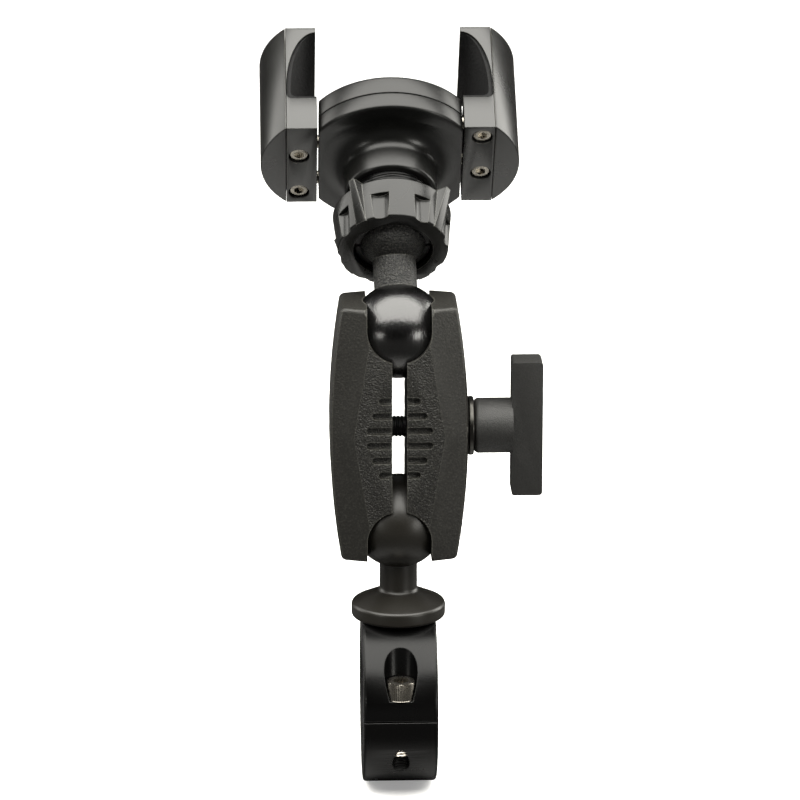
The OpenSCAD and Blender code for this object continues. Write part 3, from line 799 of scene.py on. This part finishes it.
mounted(housing(), at_holder, puck_black, "holder", "anodised_black", "holder_housing")
mounted(neck(), at_holder, clamp_black, "holder", "anodised_black", sharp=60)
mounted(cover(), at_holder, puck_black, "holder", "anodised_black", "holder_cover")


# ---- Phone pad: a thin rubber disc bonded to the cover ----
# Moulded rubber with rings that grip the phone's back.
pad_rubber = moulded_rubber("moulded rubber grippy", "070707", 0.5, 0.25)


def phone_pad():
    grooves = []
    for r in (18, 14.5, 11, 7.5, 4):
        grooves += [Vector((r + 0.5, 1)), Vector((r + 0.3, 0.6)), Vector((r - 0.3, 0.6)), Vector((r - 0.5, 1))]
    rim = outline((0, 0.01, 0), (21, 0.01, 0.1), (21, 1, 0.4), (19, 1, 0), steps=4)[:-1]
    points = rim + grooves + [Vector((0, 1))]
    keep = [block((-flat_x + 1.6, -40, -5), (flat_x - 1.6, 40, 5))]
    piece = machined(turned([p + Vector((0, front_z)) for p in points], steps=128), "phone_pad_moulded",
                     keep=[moved(keep[0], z=front_z)])
    return piece


mounted(phone_pad(), at_holder, pad_rubber, "holder", "pad_rubber", "phone_pad", sharp=30)


# ---- Jaws: a block with a hook, a half-round cover over its back, and a rubber liner ----
# Milled aluminium, black anodised; the liner is moulded rubber.
jaw_black = black_anodised("anodised aluminium milled", "0e0e0d", "62625c", 0.28, shine=0.6)
jaw_x = 19.8
jaw_seam = 28.1
jaw_half_w = 15.5
jaw_h = 36
sag = 7
bow_r = (jaw_half_w ** 2 + sag ** 2) / (2 * sag)
bow_x = jaw_seam + sag - bow_r


def hook_path(deeper):
    """The hollow of the hook in the plane across the phone's edge, up to its open side."""
    depth, shelf, top, rise, corner = 7 + deeper, 12 - deeper, 34.4, 15, 1.6
    points = [Vector((jaw_x - 8, back_z + top)), Vector((jaw_x - 8, back_z + shelf))]
    points += [Vector((jaw_x + depth - corner * (1 - sin(radians(t))), back_z + shelf + corner * (1 - cos(radians(t)))))
               for t in range(0, 91, 15)]
    points += [Vector((jaw_x + depth * cos(radians(t)), back_z + rise + (top - rise) * sin(radians(t))))
               for t in range(0, 91, 5)]
    return points


def hollow(deeper):
    return laid(pushed(hook_path(deeper), -40, 40), "X")


def jaw_block(name):
    inset = 2.05
    bow = arc(bow_x, 0, bow_r - inset, -46, 46, 32)
    core = moved(pushed([Vector(p) for p in bow] + [Vector((jaw_seam - 1, 12)), Vector((jaw_seam - 1, -12))],
                        back_z + 2, back_z + jaw_h - 2))
    body = block((jaw_x, -jaw_half_w, back_z), (jaw_seam - 0.04, jaw_half_w, back_z + jaw_h))
    cuts = [hollow(1.2)]
    for y in (-11.25, 3.75):
        cuts.append(drill(2.8, back_z - 1, back_z + 2.6, (24.7, y)))
    return eased(machined(body, name, cuts, weld=[core]), 0.35, 3, 32)


def jaw_cover(name):
    bow = [Vector(p) for p in arc(bow_x, 0, bow_r, -degrees(acos((jaw_seam - bow_x) / bow_r)),
                                  degrees(acos((jaw_seam - bow_x) / bow_r)), 48)]
    inset = arc(bow_x, 0, bow_r - 2, -46, 46, 32)
    core = pushed([Vector(p) for p in inset] + [Vector((jaw_seam - 1, 12)), Vector((jaw_seam - 1, -12))],
                  back_z + 2, back_z + jaw_h - 2)
    body = pushed(bow, back_z, back_z + jaw_h)
    moved(body, x=0.04)
    return eased(machined(body, name, [core]), 0.35, 3, 32)


def jaw_liner(name):
    body = machined(hollow(1.2), name, [hollow(0)],
                    keep=[block((jaw_x + 0.02, -jaw_half_w + 0.8, back_z), (40, jaw_half_w - 0.8, back_z + 40))])
    return eased(body, 0.2, 2, 40)


for side, where in (("right", at_holder), ("left", at_holder_left)):
    body = side + "_jaw"
    mounted(jaw_block(side + "_hook"), where, jaw_black, body, "anodised_black", side + "_jaw_block")
    mounted(jaw_cover(side + "_shell_cover"), where, jaw_black, body, "anodised_black", side + "_jaw_cover")
    mounted(jaw_liner(side + "_grip"), where, pad_rubber, body, "pad_rubber", side + "_jaw_liner")
    for number, y in enumerate((-11.25, 3.75)):
        screw = cap_screw(f"{side}_rod_screw_{number}", 2.5, 2, 1.5, 1, 2.5, 24)
        seat = where @ Matrix.Translation((24.7, y, back_z + 2.6)) @ Matrix.Rotation(pi, 4, "X")
        mounted(screw, seat, bright_steel, body, "stainless", side + "_jaw_screws", sharp=30)


# ---- Inner pieces that keep their CAD shape ----
# The guide rods are ground stainless, the springs drawn wire, the knob's insert turned brass, the ball
# base's screw stainless, and the cover's screws black steel.
spring_wire = stainless("spring steel drawn and plated", "cfcfcd", 0.22)
turned_brass = stainless("brass turned", "b89a55", 0.3)
hidden = {
    bright_steel: ("right_guide_rods", "left_guide_rods", "ball_base_screw"),
    spring_wire: ("right_springs", "left_springs"),
    turned_brass: ("knob_insert",),
    black_steel: ("cover_screws",),
}
for finish, names in hidden.items():
    for name in names:
        mesh = frame["nodes"][name].data
        mesh.materials.clear()
        mesh.materials.append(finish)


# ---- Studio: a pale floor, soft light from above and both sides, and the camera ----
low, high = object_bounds()
floor_z = low.z - 0.001


def sheet(name, size, z):
    bm = bmesh.new()
    bmesh.ops.create_grid(bm, x_segments=1, y_segments=1, size=size / 2)
    moved(bm, z=z)
    return blank(bm, name)


floor = sheet("floor", 30, floor_z)
floor_paint, floor_tree, floor_shader, _ = material("painted studio floor")
floor_shader.inputs["Roughness"].default_value = 0.9
# Painted shade in reflections: other rays see the floor pale only from steeply above and nearly black towards grazing
# views; the camera sees it evenly pale, glowing a little.
along = add(floor_tree, "ShaderNodeLayerWeight").outputs["Facing"]
reflected_floor_shade = add(floor_tree, "ShaderNodeMapRange", {"Value": along, "From Min": 0.03, "From Max": 0.25, "To Min": 0.35,
                                               "To Max": 0.02})
direct = add(floor_tree, "ShaderNodeLightPath").outputs["Is Camera Ray"]
tone = add(floor_tree, "ShaderNodeMix", {"Factor": direct, "A": reflected_floor_shade.outputs[0], "B": 0.9}, data_type="FLOAT")
floor_tree.links.new(tone.outputs["Result"], floor_shader.inputs["Base Color"])
floor_tree.links.new(direct, floor_shader.inputs["Emission Strength"])
floor_shader.inputs["Emission Color"].default_value = colour("8c8c8c")
floor.data.materials.append(floor_paint)


def lamp(name, size, power, where):
    """A rectangular soft box at where, aimed at the middle of the mount."""
    data = bpy.data.lights.new(name, "AREA")
    data.shape = "RECTANGLE"
    data.size, data.size_y = size
    data.energy = power
    data.color = (1, 0.985, 0.93)
    light = bpy.data.objects.new(name, data)
    aim = (Vector((0, 0, 0.085)) - Vector(where)).to_track_quat("-Z", "Y")
    light.matrix_world = Matrix.Translation(where) @ aim.to_matrix().to_4x4()
    bpy.context.scene.collection.objects.link(light)


lamp("overhead", (2.2, 1.2), 60, (0, -0.25, 0.95))
lamp("right_box", (0.22, 0.26), 2.6, (0.74, -0.72, 0.1))
lamp("left_box", (0.12, 0.16), 0.8, (-0.75, -0.7, 0.1))
lamp("left_side", (0.7, 1.0), 8, (-1.1, 0.45, 0.35))
lamp("right_side", (0.7, 1.0), 14, (1.1, 0.45, 0.35))

world = bpy.data.worlds.new("studio")
world.use_nodes = True
studio = world.node_tree
seen = add(studio, "ShaderNodeLightPath").outputs["Is Camera Ray"]
height = add(studio, "ShaderNodeSeparateXYZ", {0: add(studio, "ShaderNodeTexCoord").outputs["Generated"]}).outputs["Z"]
glow = add(studio, "ShaderNodeMapRange", {"Value": height, "From Min": 0.3, "From Max": 0.9, "To Min": 0.0,
                                          "To Max": 0.35})
wall = add(studio, "ShaderNodeMix", {"Factor": seen, "A": glow.outputs[0], "B": 1.0}, data_type="FLOAT")
studio.links.new(wall.outputs["Result"], studio.nodes["Background"].inputs["Strength"])
studio.nodes["Background"].inputs["Color"].default_value = (1, 1, 1, 1)
bpy.context.scene.world = world
bpy.context.scene.view_settings.view_transform = "Standard"

camera_data = bpy.data.cameras.new("camera")
camera_data.lens = 202.5
camera_data.sensor_width = 36
camera_data.clip_end = 50
camera = bpy.data.objects.new("camera", camera_data)
look_at = Vector((0.00046, 0, 0.08305))
azimuth, elevation, distance = radians(-2), radians(16), 1.206
back = Vector((sin(azimuth) * cos(elevation), -cos(azimuth) * cos(elevation), sin(elevation)))
camera.matrix_world = Matrix.Translation(look_at + back * distance) @ back.to_track_quat("Z", "Y").to_matrix().to_4x4()
bpy.context.scene.collection.objects.link(camera)
bpy.context.scene.camera = camera
